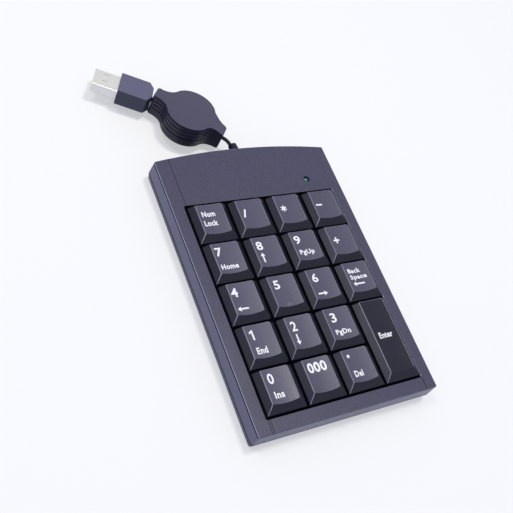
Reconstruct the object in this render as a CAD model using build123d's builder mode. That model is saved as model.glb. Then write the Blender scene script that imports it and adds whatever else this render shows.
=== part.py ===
"""Wired numeric keypad with a two-way retractable cord reel and a plug. Millimetres, +Z up.

The origin lies on the table, under the centre of the casing. The keys face +Z, the row with the zero
key is at the front (-Y), and the cord leaves the middle of the bowed back edge (+Y).
"""
from build123d import *
import math
import os

os.makedirs("parts", exist_ok=True)

# ---- Casing ----
case_width = 87.2  # at the top face
case_front = -64.6  # straight front edge
case_corner_back = 61.2  # where the sides end
case_crown = 64.6  # middle of the bowed back edge
case_corner = 1.2  # radius of the upright corners
plate_corner = 0.5  # sharper corners of the top face
case_wall = 2.0
case_top = 12.0
top_thickness = 1.9
parting_z = 4.4  # joint line between the two covers
side_bulge = 0.6  # the sides swell out towards the joint line
seam_chamfer = 0.15
edge_round = 0.3
rim_groove_height = 0.8  # dark groove just under the top face
rim_groove_depth = 0.6
rim_lip = 0.45
line_width = 0.35  # fine lines sunk into the top face
line_depth = 0.3
panel_line_x = -36.95  # behind the keys
strip_line_x = (-37.55, -36.6, 38.2)  # in front of the keys

foot_height = 1.0
foot_radius = 4.0
foot_recess = 0.4
foot_inset_x = 9.0
foot_inset_y = 9.0
floor_thickness = 1.5
lip_gap = 0.1
lip_wall = 1.0
lip_height = 1.2
hook_length = 9.0
hook_depth = 0.5
hook_height = 0.6
hook_count = 3

# ---- Key block ----
key_pitch = 19.0
key_columns = 4
key_rows = 5
block_y = -11.25  # centre of the key block, at the foot of the skirts
key_base = 17.7
key_base_corner = 0.5
key_top_width = 12.3
key_top_depth = 13.9
key_top_corner = 0.4
key_far_corner = 1.1  # back right corner of the top
key_top_shift = 1.65  # the top sits towards the back of its skirt
key_height = 7.2
key_shoulder = 5.3  # upright part of the skirt, below the slopes
key_dish_radius = 60.0
key_skin = 1.2  # thickness of the skirt
key_ceiling = 1.8  # from the rim of the top down to the flat roof inside
key_eaves = 0.9  # from the shoulder down to the top of the upright walls inside
key_travel = 3.0
key_floor_gap = 0.2  # between a pressed skirt and the guide plate
home_bar = (2.2, 0.6, 0.35)
home_bar_inset = 0.7  # from the front corners of the top to the middle of the bar
well_gap_side = 0.75
well_gap_front = 0.95
well_gap_back = 2.05
well_corner = 0.8
skirt_wall = 1.2

stem = 5.0
stem_wall = 1.0
stem_gap = 0.25
hook_reach = 0.55  # barbs that hold a stem in its turret
hook_thick = 0.9
post = 3.4  # plain guide posts at both ends of the long key
turret_wall = 0.9
turret_cap = 1.2

# ---- Layers under the keys ----
membrane_thickness = 0.3
sheet_thickness = 0.6
sheet_margin = 1.5
plate_thickness = 1.2
plate_gap = 0.3
dome_base_radius = 3.7
dome_top_radius = 2.5
dome_gap = 0.1

# ---- Electronics ----
board_width = 40.0
board_thickness = 1.2
board_x = 10.0
board_gap_front = 2.15  # behind the guide plate
board_gap_back = 5.6  # in front of the back wall
board_pin_radius = 0.9
board_pin_gap = 0.1
board_pin_inset = 2.5
tail_width = 12.0
tail_overlap = 4.0  # length of the membrane's tail under the board
chip_radius = 4.0
chip_height = 1.3
header_size = (8.0, 4.0, 4.4)
led_x = 27.2
led_y = 44.3
led_radius = 1.25
led_flange = 0.4
led_height = 5.2
led_below_face = 0.35
led_hole_gap = 0.35

# ---- Screws ----
screw_radius = 1.1
screw_length = 6.5
head_radius = 2.1
head_height = 1.2
head_gap = 0.25
boss_radius = 3.0
boss_x = 36.0
boss_y = 44.2

# ---- Cord and gland ----
cord_diameter = 1.75
cord_gap = 0.1
cord_z = 6.7
gland_neck = 4.4
gland_flange = (6.4, 4.6, 1.6)
gland_radius = 2.4
gland_tip_radius = 2.0
gland_length = 4.8
gland_mouth_radius = 1.6
gland_mouth_depth = 4.0
gland_seat_gap = 0.1
gland_wall_gap = 0.05  # between the collar and the swollen back wall

# ---- Cord reel: it lies rolled about its long axis, on its far lower edge ----
reel_x = -18.05
reel_y = 85.5
reel_heading = 139.5
reel_lean = 11.0
reel_half = 14.5  # half its width across the line of the cord
reel_crest_radius = 10.6  # rounding of its two broad sides
reel_thickness = 10.6
reel_nose = 3.7  # half the width of a nose
reel_nose_length = 7.4  # from the widest part of the rounding to the end of a nose
reel_blend = 7.0  # hollow curve from the round case into a nose
reel_nose_corner = 1.2
reel_nose_drop = 2.3  # the upper face slopes down on the nose for the keypad's cord
reel_slope_start = 11.0
reel_wall = 1.2
reel_skin = 1.0
reel_edge = 0.3
reel_low_edge = 0.6
reel_groove_depth = 0.4
reel_groove_height = 0.7
reel_groove_tops = (0.5, 2.4, 4.3, 6.2)  # below the upper face
reel_groove_end = 16.5  # towards the plug
reel_parting = 5.0  # joint line between the shells, level with the cord
reel_channel = 2.0  # height of the cord's way above the joint line
reel_cord_hole = 1.2
axle_radius = 1.6
axle_gap = 0.3
spool_radius = 11.55
spool_gap = 0.25
spool_web = 0.5
hub_inner = 4.35
hub_wall = 0.6
spring_start = 1.95
spring_strip = 0.25
spring_turns = 3
spring_pitch = 0.62
spring_gap = 0.4
winding_gap = 0.05
winding_radius = 11.5
reel_screw_radius = 0.7
reel_screw_length = 6.0
reel_screw_head = 1.7
reel_screw_head_height = 0.7
reel_screw_gap = 0.15

# ---- Plug ----
plug_face = (-45.0, 106.3, 7.2)  # middle of the moulding's front face
plug_heading = 151.6
plug_width = 14.6
plug_height = 7.7
plug_length = 13.4
plug_taper = 2.1
plug_tail = 7.4  # width between the sloping back corners
plug_collar_radius = 1.9
plug_collar = 3.2
plug_cord_depth = 5.0
plug_round = 0.5
shell_width = 12.0
shell_height = 4.5
shell_wall = 0.3
shell_length = 11.75
shell_hidden = 6.0
window_size = 2.3
window_back = 5.2  # from the open end to the middle of a window
window_spread = 4.9
tongue_height = 1.9
tongue_gap = 0.05
tongue_recess = 0.8
contact_width = 1.0
contact_thickness = 0.2
contact_pitch = 2.25
contact_length = 7.0

# ---- Heights that follow ----
floor_top = foot_height + floor_thickness
membrane_top = floor_top + membrane_thickness
sheet_top = membrane_top + sheet_thickness
plate_top = sheet_top + plate_thickness
key_low = plate_top + key_floor_gap + key_travel
key_top = key_low + key_height
roof_z = key_top - key_ceiling
stem_foot = sheet_top + key_travel + 0.6  # a squashed dome stays under a pressed stem
barb_top = stem_foot + hook_thick
turret_top = barb_top + dome_gap + turret_cap
case_under_top = case_top - top_thickness
cord_radius = cord_diameter / 2

# ---- Plan sizes that follow ----
block_depth = (key_rows - 1) * key_pitch + key_base
well_width = (key_columns - 1) * key_pitch + key_base + 2 * well_gap_side
well_front = block_y - block_depth / 2 - well_gap_front
well_back = block_y + block_depth / 2 + well_gap_back
well_depth = well_back - well_front
well_y = (well_front + well_back) / 2
column_x = [(i - (key_columns - 1) / 2) * key_pitch for i in range(key_columns)]
row_y = [block_y + ((key_rows - 1) / 2 - j) * key_pitch for j in range(key_rows)]
enter_y = (row_y[3] + row_y[4]) / 2
stem_side = 2 * (stem / 2 + stem_gap)
turret_side = 2 * (dome_base_radius + 0.4 + turret_wall)

# names from the back row to the front one; the long key stands in the last two rows
key_names = [
    ["key_num_lock", "key_divide", "key_multiply", "key_minus"],
    ["key_7", "key_8", "key_9", "key_plus"],
    ["key_4", "key_5", "key_6", "key_backspace"],
    ["key_1", "key_2", "key_3", "key_enter"],
    ["key_0", "key_000", "key_point"],
]
long_key = "key_enter"
key_centre = {}
for row, names in enumerate(key_names):
    for column, key_name in enumerate(names):
        key_centre[key_name] = (column_x[column], enter_y if key_name == long_key else row_y[row])
stem_points = list(key_centre.values())
post_points = [(column_x[3], row_y[3]), (column_x[3], row_y[4])]


def case_plan(inset=0.0, corner=case_corner):
    # plan of the casing: three straight sides and a bowed back
    half = case_width / 2 - inset
    with BuildSketch() as plan:
        with BuildLine():
            Polyline((-half, case_corner_back - inset), (-half, case_front + inset),
                     (half, case_front + inset), (half, case_corner_back - inset))
            ThreePointArc((half, case_corner_back - inset), (0, case_crown - inset),
                          (-half, case_corner_back - inset))
        make_face()
        fillet(vertices(), max(corner - inset, 0.4))
    return plan.sketch


def save(piece, name):
    piece.part.label = name
    export_step(piece.part, f"parts/{name}.step")


# ---- Upper cover: a frame round the key well, with sides that swell out below the top face ----
groove_low = case_top - rim_lip - rim_groove_height
with BuildPart() as top_cover:
    for level, inset, corner_radius in ((parting_z, seam_chamfer - side_bulge, case_corner),
                                        (parting_z + seam_chamfer, -side_bulge, case_corner),
                                        (groove_low, 0, plate_corner)):
        with BuildSketch(Plane.XY.offset(level)):
            add(case_plan(inset, corner_radius))
    loft(ruled=True)
    with BuildSketch(Plane.XY.offset(groove_low)):
        add(case_plan(0, plate_corner))
    extrude(amount=case_top - groove_low)
    fillet(faces().sort_by(Axis.Z)[-1].edges(), edge_round)
    with BuildSketch(Plane.XY.offset(groove_low)):
        add(case_plan(-1.0))
        add(case_plan(rim_groove_depth), mode=Mode.SUBTRACT)
    extrude(amount=rim_groove_height, mode=Mode.SUBTRACT)
    with BuildSketch(Plane.XY.offset(parting_z)):
        add(case_plan(case_wall))
    extrude(amount=case_under_top - parting_z, mode=Mode.SUBTRACT)
    # skirt of the well, standing on the guide plate
    with BuildSketch(Plane.XY.offset(plate_top)):
        with Locations((0, well_y)):
            Rectangle(well_width + 2 * skirt_wall, well_depth + 2 * skirt_wall)
    extrude(amount=case_under_top - plate_top)
    with BuildSketch(Plane.XY.offset(plate_top)):
        with Locations((0, well_y)):
            RectangleRounded(well_width, well_depth, well_corner)
    extrude(amount=case_top - plate_top, mode=Mode.SUBTRACT)
    # fine lines from the well to the back and front edges
    back_length = case_crown - well_back
    front_length = well_front - case_front
    with BuildSketch(Plane.XY.offset(case_top - line_depth)):
        with Locations((panel_line_x, well_back + back_length / 2)):
            Rectangle(line_width, back_length + line_width)
        with Locations(*[(x, case_front + front_length / 2) for x in strip_line_x]):
            Rectangle(line_width, front_length + line_width)
    extrude(amount=line_depth, mode=Mode.SUBTRACT)
    # window for the lamp
    with BuildSketch(Plane.XY.offset(case_under_top)):
        with Locations((led_x, led_y)):
            Circle(led_radius + led_hole_gap)
    extrude(amount=top_thickness, mode=Mode.SUBTRACT)
    # bosses for the screws
    with BuildSketch(Plane.XY.offset(floor_top + head_height)):
        with Locations((-boss_x, boss_y), (boss_x, boss_y)):
            Circle(boss_radius)
    extrude(amount=case_under_top - floor_top - head_height)
    with BuildSketch(Plane.XY.offset(floor_top + head_height)):
        with Locations((-boss_x, boss_y), (boss_x, boss_y)):
            Circle(screw_radius)
    extrude(amount=screw_length - 1.0, mode=Mode.SUBTRACT)
    # notch for the gland's neck, open to the joint line
    with BuildSketch(Plane.XY.offset(parting_z)):
        with Locations((0, case_crown - case_wall / 2)):
            Rectangle(gland_neck, case_wall + 2)
    extrude(amount=cord_z + gland_neck / 2 - parting_z, mode=Mode.SUBTRACT)
    # pockets for the front hooks
    with BuildSketch(Plane.XY.offset(parting_z + lip_height - hook_height)):
        with GridLocations(case_width / (hook_count + 1), 1, hook_count, 1):
            with Locations((0, case_front + case_wall - hook_depth / 2)):
                Rectangle(hook_length + 1, hook_depth + lip_gap)
    extrude(amount=hook_height + 0.2, mode=Mode.SUBTRACT)
save(top_cover, "top_cover")

foot_points = [(sx * (case_width / 2 - foot_inset_x), y) for sx in (-1, 1)
               for y in (case_front + foot_inset_y, case_corner_back - foot_inset_y)]
plate_back = well_back + skirt_wall + 1.0
board_front = plate_back + board_gap_front
board_back = case_crown - case_wall - board_gap_back
board_depth = board_back - board_front
board_y = (board_front + board_back) / 2
pin_x = board_width / 2 - board_pin_inset
pin_y = board_depth / 2 - board_pin_inset
pin_points = [(board_x + sx * pin_x, board_y + sy * pin_y) for sx, sy in ((-1, -1), (-1, 1), (1, 1))]

# ---- Lower cover: tray with a lip that laps inside the upper one ----
with BuildPart() as bottom_cover:
    for level, inset in ((foot_height, edge_round), (foot_height + edge_round, 0),
                         (parting_z - seam_chamfer, -side_bulge), (parting_z, seam_chamfer - side_bulge)):
        with BuildSketch(Plane.XY.offset(level)):
            add(case_plan(inset))
    loft(ruled=True)
    with BuildSketch(Plane.XY.offset(parting_z)):
        add(case_plan(case_wall + lip_gap))
    extrude(amount=lip_height)
    with BuildSketch(Plane.XY.offset(floor_top)):
        add(case_plan(case_wall + lip_gap + lip_wall))
    extrude(amount=parting_z + lip_height - floor_top, mode=Mode.SUBTRACT)
    with BuildSketch(Plane.XY.offset(parting_z)):
        with Locations((0, case_crown - case_wall)):
            Rectangle(gland_flange[0] + 1, 3 * lip_wall + 2)
    extrude(amount=lip_height, mode=Mode.SUBTRACT)
    with BuildSketch(Plane.XY.offset(parting_z + lip_height - hook_height)):
        with GridLocations(case_width / (hook_count + 1), 1, hook_count, 1):
            with Locations((0, case_front + case_wall + lip_gap - (hook_depth - lip_gap) / 2)):
                Rectangle(hook_length, hook_depth - lip_gap)
    extrude(amount=hook_height)
    # pads that the bosses stand on, and the counterbored screw holes
    with BuildSketch(Plane.XY.offset(floor_top)):
        with Locations((-boss_x, boss_y), (boss_x, boss_y)):
            Circle(boss_radius)
    extrude(amount=head_height)
    with Locations((-boss_x, boss_y, foot_height), (boss_x, boss_y, foot_height)):
        with Locations(Rotation(180, 0, 0)):
            CounterBoreHole(screw_radius + 0.15, head_radius + head_gap, head_height + 0.2)
    # pads and pins for the board
    with BuildSketch(Plane.XY.offset(floor_top)):
        with Locations(*pin_points):
            Circle(board_pin_radius + 0.8)
    extrude(amount=membrane_thickness)
    with BuildSketch(Plane.XY.offset(membrane_top)):
        with Locations(*pin_points):
            Circle(board_pin_radius)
    extrude(amount=board_thickness + 0.6)
    # recesses for the feet
    with BuildSketch(Plane.XY.offset(foot_height)):
        with Locations(*foot_points):
            Circle(foot_radius + 0.1)
    extrude(amount=foot_recess, mode=Mode.SUBTRACT)
save(bottom_cover, "bottom_cover")

with BuildPart() as rubber_feet:
    with BuildSketch():
        with Locations(*foot_points):
            Circle(foot_radius)
    extrude(amount=foot_height + foot_recess)
    chamfer(edges().group_by(Axis.Z)[0], 0.3)
save(rubber_feet, "rubber_feet")

with BuildPart() as case_screws:
    head_z = foot_height + 0.2
    with BuildSketch(Plane.XY.offset(head_z)):
        with Locations((-boss_x, boss_y), (boss_x, boss_y)):
            Circle(head_radius)
            RectangleRounded(2.4, 0.6, 0.1, mode=Mode.SUBTRACT)
            RectangleRounded(0.6, 2.4, 0.1, mode=Mode.SUBTRACT)
    extrude(amount=head_height)
    with BuildSketch(Plane.XY.offset(head_z + 0.7)):
        with Locations((-boss_x, boss_y), (boss_x, boss_y)):
            Circle(screw_radius - 0.02)
    extrude(amount=screw_length)
save(case_screws, "case_screws")

# ---- Guide plate: a turret for each stem, with a rubber dome inside ----
plate_inset = case_wall + lip_gap + lip_wall + plate_gap
plate_width = case_width - 2 * plate_inset
plate_front = case_front + plate_inset
with BuildPart() as key_guide_plate:
    with BuildSketch(Plane.XY.offset(sheet_top)):
        with Locations((0, (plate_front + plate_back) / 2)):
            Rectangle(plate_width, plate_back - plate_front)
    extrude(amount=plate_thickness)
    with BuildSketch(Plane.XY.offset(plate_top)):
        with Locations(*stem_points):
            Rectangle(turret_side, turret_side)
        with Locations(*post_points):
            Rectangle(post + 2 * (stem_gap + turret_wall), post + 2 * (stem_gap + turret_wall))
    extrude(amount=turret_top - plate_top)
    with BuildSketch(Plane.XY.offset(sheet_top)):
        with Locations(*stem_points):
            Rectangle(turret_side - 2 * turret_wall, turret_side - 2 * turret_wall)
    extrude(amount=turret_top - turret_cap - sheet_top, mode=Mode.SUBTRACT)
    with BuildSketch(Plane.XY.offset(sheet_top)):
        with Locations(*stem_points):
            Rectangle(stem_side, stem_side)
        with Locations(*post_points):
            Rectangle(post + 2 * stem_gap, post + 2 * stem_gap)
    extrude(amount=turret_top - sheet_top, mode=Mode.SUBTRACT)
save(key_guide_plate, "key_guide_plate")

sheet_width = plate_width - 2 * sheet_margin
sheet_front = plate_front + sheet_margin
sheet_depth = plate_back - plate_front - 2 * sheet_margin
with BuildPart() as dome_mat:
    with BuildSketch(Plane.XY.offset(membrane_top)):
        with Locations((0, sheet_front + sheet_depth / 2)):
            Rectangle(sheet_width, sheet_depth)
    extrude(amount=sheet_thickness)
    dome_top = stem_foot - dome_gap
    with Locations(*[(x, y, (sheet_top + dome_top) / 2) for x, y in stem_points]):
        Cone(dome_base_radius, dome_top_radius, dome_top - sheet_top)
save(dome_mat, "dome_mat")

with BuildPart() as membrane:
    tail_end = board_front + tail_overlap
    with BuildSketch(Plane.XY.offset(floor_top)):
        with Locations((0, sheet_front + sheet_depth / 2)):
            Rectangle(sheet_width, sheet_depth)
        tail_start = sheet_front + sheet_depth - 1.0
        with Locations((board_x, (tail_start + tail_end) / 2)):
            Rectangle(tail_width, tail_end - tail_start)
    extrude(amount=membrane_thickness)
save(membrane, "membrane")

# ---- Electronics at the back ----
board_top = membrane_top + board_thickness
with BuildPart() as controller_board:
    with BuildSketch(Plane.XY.offset(membrane_top)):
        with Locations((board_x, board_y)):
            Rectangle(board_width, board_depth)
        with Locations(*pin_points):
            Circle(board_pin_radius + board_pin_gap, mode=Mode.SUBTRACT)
    extrude(amount=board_thickness)
save(controller_board, "controller_board")

with BuildPart() as controller_chip:
    chip_ball = (chip_radius ** 2 + chip_height ** 2) / (2 * chip_height)
    with BuildSketch(Plane.XZ.offset(-board_y)):
        with BuildLine():
            chip_x = board_x + 2.0
            Polyline((chip_x + chip_radius, board_top), (chip_x, board_top),
                     (chip_x, board_top + chip_height))
            RadiusArc((chip_x, board_top + chip_height), (chip_x + chip_radius, board_top), chip_ball)
        make_face()
    revolve(axis=Axis((chip_x, board_y, 0), (0, 0, 1)))
save(controller_chip, "controller_chip")

header_back = board_back - 0.5
with BuildPart() as cable_header:
    with BuildSketch(Plane.XY.offset(board_top)):
        with Locations((0, header_back - header_size[1] / 2)):
            Rectangle(header_size[0], header_size[1])
    extrude(amount=header_size[2])
save(cable_header, "cable_header")

with BuildPart() as status_led:
    led_top = case_top - led_below_face
    led_base = led_top - led_height
    with BuildSketch(Plane.XY.offset(led_base)):
        with Locations((led_x, led_y)):
            Circle(led_radius + led_flange)
    extrude(amount=0.8)
    with BuildSketch(Plane.XY.offset(led_base)):
        with Locations((led_x, led_y)):
            Circle(led_radius)
    extrude(amount=led_height)
    fillet(edges().group_by(Axis.Z)[-1], led_radius - 0.1)
    # leads down to the board
    with BuildSketch(Plane.XY.offset(board_top)):
        with Locations((led_x - 1.27, led_y), (led_x + 1.27, led_y)):
            Rectangle(0.5, 0.5)
    extrude(amount=led_base - board_top)
save(status_led, "status_led")

# ---- Cord gland: flange inside, square neck in the wall, tapered collar outside ----
wall_out = case_crown + side_bulge + gland_wall_gap
wall_in = case_crown - case_wall - gland_seat_gap
gland_tip = wall_out + gland_length
with BuildPart() as cable_gland:
    with BuildSketch(Plane.XZ.offset(-(wall_in - gland_flange[2]))):
        with Locations((0, cord_z + 0.1)):
            RectangleRounded(gland_flange[0], gland_flange[1], 0.5)
    extrude(amount=-gland_flange[2])
    with BuildSketch(Plane.XZ.offset(-wall_in)):
        with Locations((0, cord_z)):
            Rectangle(gland_neck, gland_neck)
    extrude(amount=wall_in - wall_out)
    with BuildSketch(Plane.XZ.offset(-wall_out)):
        with Locations((0, cord_z)):
            Circle(gland_radius)
    with BuildSketch(Plane.XZ.offset(-gland_tip)):
        with Locations((0, cord_z)):
            Circle(gland_tip_radius)
    loft()
    with BuildSketch(Plane.XZ.offset(-(wall_in - gland_flange[2]))):
        with Locations((0, cord_z)):
            Circle(cord_radius + cord_gap)
    extrude(amount=-(gland_tip - wall_in + gland_flange[2]), mode=Mode.SUBTRACT)
    with BuildSketch(Plane.XZ.offset(-(gland_tip - gland_mouth_depth))):
        with Locations((0, cord_z)):
            Circle(cord_radius + cord_gap)
    with BuildSketch(Plane.XZ.offset(-gland_tip)):
        with Locations((0, cord_z)):
            Circle(gland_mouth_radius)
    loft(mode=Mode.SUBTRACT)
save(cable_gland, "cable_gland")


# ---- Keycaps ----
def key_plan(width, depth, corner, far_corner):
    # rectangle with its own radius at the back right corner
    with BuildSketch() as plan:
        Rectangle(width, depth)
        fillet(plan.vertices().sort_by(lambda v: v.X + v.Y)[-1], far_corner)
        fillet([v for v in plan.vertices()
                if abs(abs(v.X) - width / 2) < 0.001 and abs(abs(v.Y) - depth / 2) < 0.001], corner)
    return plan.sketch


def make_keycap(name, x, y, extra):
    # upright skirt, sloping shoulders, a top dished from side to side, and a square stem with two barbs
    top_half = key_top_width / 2
    dish_centre = key_top + math.sqrt(key_dish_radius ** 2 - top_half ** 2)
    depth_out = key_base + extra
    shoulder_z = key_low + key_shoulder
    with BuildPart() as cap:
        with BuildSketch(Plane.XY.offset(key_low)):
            with Locations((x, y)):
                add(key_plan(key_base, depth_out, key_base_corner, key_base_corner))
        extrude(amount=key_shoulder)
        with BuildSketch(Plane.XY.offset(shoulder_z)):
            with Locations((x, y)):
                add(key_plan(key_base, depth_out, key_base_corner, key_base_corner))
        with BuildSketch(Plane.XY.offset(key_top)):
            with Locations((x, y + key_top_shift)):
                add(key_plan(key_top_width, key_top_depth + extra, key_top_corner, key_far_corner))
        loft()
        with BuildSketch(Plane.XZ.offset(-y + depth_out)):
            with Locations((x, dish_centre)):
                Circle(key_dish_radius)
        extrude(amount=-2 * depth_out, mode=Mode.SUBTRACT)
        with BuildSketch(Plane.XY.offset(key_low)):
            with Locations((x, y)):
                Rectangle(key_base - 2 * key_skin, depth_out - 2 * key_skin)
        extrude(amount=key_shoulder - key_eaves, mode=Mode.SUBTRACT)
        with BuildSketch(Plane.XY.offset(shoulder_z - key_eaves)):
            with Locations((x, y)):
                Rectangle(key_base - 2 * key_skin, depth_out - 2 * key_skin)
        with BuildSketch(Plane.XY.offset(roof_z)):
            with Locations((x, y + key_top_shift)):
                Rectangle(key_top_width - 2 * key_skin, key_top_depth + extra - 2 * key_skin)
        loft(mode=Mode.SUBTRACT)
        with BuildSketch(Plane.XY.offset(stem_foot)):
            with Locations((x, y)):
                Rectangle(stem, stem)
        extrude(amount=roof_z - stem_foot)
        with BuildSketch(Plane.XY.offset(stem_foot)):
            with Locations((x, y)):
                Rectangle(stem + 2 * hook_reach, 2.0)
        extrude(amount=hook_thick)
        with BuildSketch(Plane.XY.offset(stem_foot)):
            with Locations((x, y)):
                Rectangle(stem - 2 * stem_wall, stem - 2 * stem_wall)
        extrude(amount=roof_z - stem_foot - 0.5, mode=Mode.SUBTRACT)
        if name == long_key:
            with BuildSketch(Plane.XY.offset(stem_foot - 0.4)):
                with Locations(*post_points):
                    Rectangle(post, post)
            extrude(amount=roof_z - stem_foot + 0.4)
        if name == "key_5":
            bar_y = y + key_top_shift - key_top_depth / 2 + home_bar_inset
            with BuildSketch(Plane.XY.offset(key_top - 1.0)):
                with Locations((x, bar_y)):
                    RectangleRounded(home_bar[0], home_bar[1], 0.25)
            extrude(amount=1.0 + home_bar[2] - 0.5)
    save(cap, name)


for key_name, centre in key_centre.items():
    make_keycap(key_name, *centre, key_pitch if key_name == long_key else 0)

# ---- Cord reel ----
reel_rest = (reel_half - reel_low_edge) * math.sin(math.radians(reel_lean))
reel_floor = Plane(
    Location((reel_x, reel_y, reel_rest), (0, 0, reel_heading)) * Location((0, 0, 0), (reel_lean, 0, 0))
)
reel_along = reel_floor.x_dir
reel_up = reel_floor.z_dir
reel_axis = Axis(reel_floor.origin, reel_up)
reel_cross = Plane(
    origin=reel_floor.origin + reel_up * reel_parting,
    x_dir=reel_floor.y_dir,
    z_dir=reel_along,
)
reel_side = Plane(origin=reel_floor.origin, x_dir=reel_along, z_dir=-reel_floor.y_dir)
reel_reach = reel_crest_radius + reel_nose_length
reel_roof = reel_thickness - reel_skin
reel_room_radius = spool_radius + spool_gap
drum_low = reel_skin + spool_gap
drum_high = reel_roof - spool_gap

# case with two broad round sides and a nose at each end
with BuildSketch() as reel_outline:
    with Locations((0, reel_crest_radius - reel_half), (0, reel_half - reel_crest_radius)):
        Circle(reel_crest_radius)
    Rectangle(2 * reel_reach, 2 * reel_nose)
    fillet([v for v in vertices() if abs(v.X) > reel_reach - 0.1], reel_nose_corner)
    fillet([v for v in vertices() if abs(v.X) < reel_crest_radius + 0.1], reel_blend)
with BuildSketch() as reel_core:
    add(reel_outline.sketch)
    offset(amount=-reel_groove_depth, mode=Mode.REPLACE)
# a line of grooves ends where the upper face begins to slope
with BuildSketch() as reel_groove:
    with Locations(((reel_groove_end - reel_slope_start) / 2, 0)):
        Rectangle(reel_groove_end + reel_slope_start, 3 * reel_half)
    add(reel_core.sketch, mode=Mode.SUBTRACT)
with BuildSketch() as reel_way:
    Rectangle(2 * (reel_reach - reel_wall), 2 * (reel_nose - reel_wall))

with BuildPart() as reel_top_shell:
    with BuildSketch(reel_floor.offset(reel_parting)):
        add(reel_outline.sketch)
    extrude(amount=reel_thickness - reel_parting)
    fillet(faces().sort_by(reel_axis)[-1].edges(), reel_edge)
    with BuildSketch(reel_side):
        with BuildLine():
            Polyline((-reel_slope_start, reel_thickness), (-reel_reach, reel_thickness - reel_nose_drop),
                     (-reel_reach - 1, reel_thickness - reel_nose_drop), (-reel_reach - 1, reel_thickness + 1),
                     (-reel_slope_start, reel_thickness + 1), close=True)
        make_face()
    extrude(amount=reel_half, both=True, mode=Mode.SUBTRACT)
    for groove_top in reel_groove_tops[:3]:
        with BuildSketch(reel_floor.offset(reel_thickness - groove_top - reel_groove_height)):
            add(reel_groove.sketch)
        extrude(amount=reel_groove_height, mode=Mode.SUBTRACT)
    # room for the spool, and a channel through each nose
    with BuildSketch(reel_floor.offset(reel_parting)):
        Circle(reel_room_radius)
    extrude(amount=reel_roof - reel_parting, mode=Mode.SUBTRACT)
    with BuildSketch(reel_floor.offset(reel_parting)):
        add(reel_way.sketch)
    extrude(amount=reel_channel, mode=Mode.SUBTRACT)
    with BuildSketch(reel_floor.offset(reel_skin)):
        Circle(axle_radius)
    extrude(amount=reel_roof - reel_skin)
    with BuildSketch(reel_floor.offset(reel_skin)):
        Circle(reel_screw_radius)
    extrude(amount=reel_screw_length, mode=Mode.SUBTRACT)
    for nose_end in (-reel_reach, reel_reach - reel_wall):
        with BuildSketch(reel_cross.offset(nose_end)):
            Circle(reel_cord_hole)
        extrude(amount=reel_wall, mode=Mode.SUBTRACT)
save(reel_top_shell, "reel_top_shell")

with BuildPart() as reel_bottom_shell:
    with BuildSketch(reel_floor):
        add(reel_outline.sketch)
    extrude(amount=reel_parting)
    chamfer(faces().sort_by(reel_axis)[0].edges(), reel_low_edge)
    with BuildSketch(reel_floor.offset(reel_thickness - reel_groove_tops[3] - reel_groove_height)):
        add(reel_groove.sketch)
    extrude(amount=reel_groove_height, mode=Mode.SUBTRACT)
    with BuildSketch(reel_floor.offset(reel_skin)):
        Circle(reel_room_radius)
        add(reel_way.sketch)
    extrude(amount=reel_parting - reel_skin, mode=Mode.SUBTRACT)
    with BuildSketch(reel_floor):
        Circle(reel_screw_radius + reel_screw_gap)
    extrude(amount=reel_skin, mode=Mode.SUBTRACT)
    with BuildSketch(reel_floor):
        Circle(reel_screw_head + reel_screw_gap)
    extrude(amount=reel_screw_head_height + 0.1, mode=Mode.SUBTRACT)
    for nose_end in (-reel_reach, reel_reach - reel_wall):
        with BuildSketch(reel_cross.offset(nose_end)):
            Circle(reel_cord_hole)
        extrude(amount=reel_wall, mode=Mode.SUBTRACT)
save(reel_bottom_shell, "reel_bottom_shell")

with BuildPart() as reel_screw:
    with BuildSketch(reel_floor.offset(0.1)):
        Circle(reel_screw_head)
        RectangleRounded(2.0, 0.5, 0.1, mode=Mode.SUBTRACT)
        RectangleRounded(0.5, 2.0, 0.1, mode=Mode.SUBTRACT)
    extrude(amount=reel_screw_head_height)
    with BuildSketch(reel_floor.offset(0.5)):
        Circle(reel_screw_radius - 0.02)
    extrude(amount=reel_screw_length)
save(reel_screw, "reel_screw")

# Spool: lower web with the bearing, cup for the spring, upper flange
with BuildPart() as reel_spool:
    with BuildSketch(reel_floor.offset(drum_low)):
        Circle(spool_radius)
    extrude(amount=spool_web)
    with BuildSketch(reel_floor.offset(drum_low)):
        Circle(hub_inner + hub_wall)
    extrude(amount=drum_high - drum_low)
    with BuildSketch(reel_floor.offset(drum_high - spool_web)):
        Circle(spool_radius)
    extrude(amount=spool_web)
    with BuildSketch(reel_floor.offset(drum_low + spool_web)):
        Circle(hub_inner)
    extrude(amount=drum_high - drum_low - spool_web, mode=Mode.SUBTRACT)
    with BuildSketch(reel_floor.offset(drum_low)):
        Circle(axle_radius + axle_gap)
    extrude(amount=spool_web, mode=Mode.SUBTRACT)
save(reel_spool, "reel_spool")

with BuildPart() as spool_spring:
    with BuildSketch(reel_floor.offset(drum_low + spool_web + spring_gap)):
        with BuildLine() as coil_line:
            ends_x = [(-1) ** k * (spring_start + k * spring_pitch / 2)
                      for k in range(2 * spring_turns + 1)]
            for k, (near, far) in enumerate(zip(ends_x, ends_x[1:])):
                side = 1 if k % 2 == 0 else -1
                ThreePointArc((near, 0), ((near + far) / 2, side * abs(near - far) / 2), (far, 0))
        trace(line_width=spring_strip)
    extrude(amount=drum_high - drum_low - spool_web - 2 * spring_gap)
save(spool_spring, "spool_spring")

with BuildPart() as wound_cord:
    with BuildSketch(reel_floor.offset(drum_low + spool_web + winding_gap)):
        Circle(winding_radius)
        Circle(hub_inner + hub_wall + winding_gap, mode=Mode.SUBTRACT)
    extrude(amount=drum_high - drum_low - 2 * spool_web - 2 * winding_gap)
save(wound_cord, "wound_cord")

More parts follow.
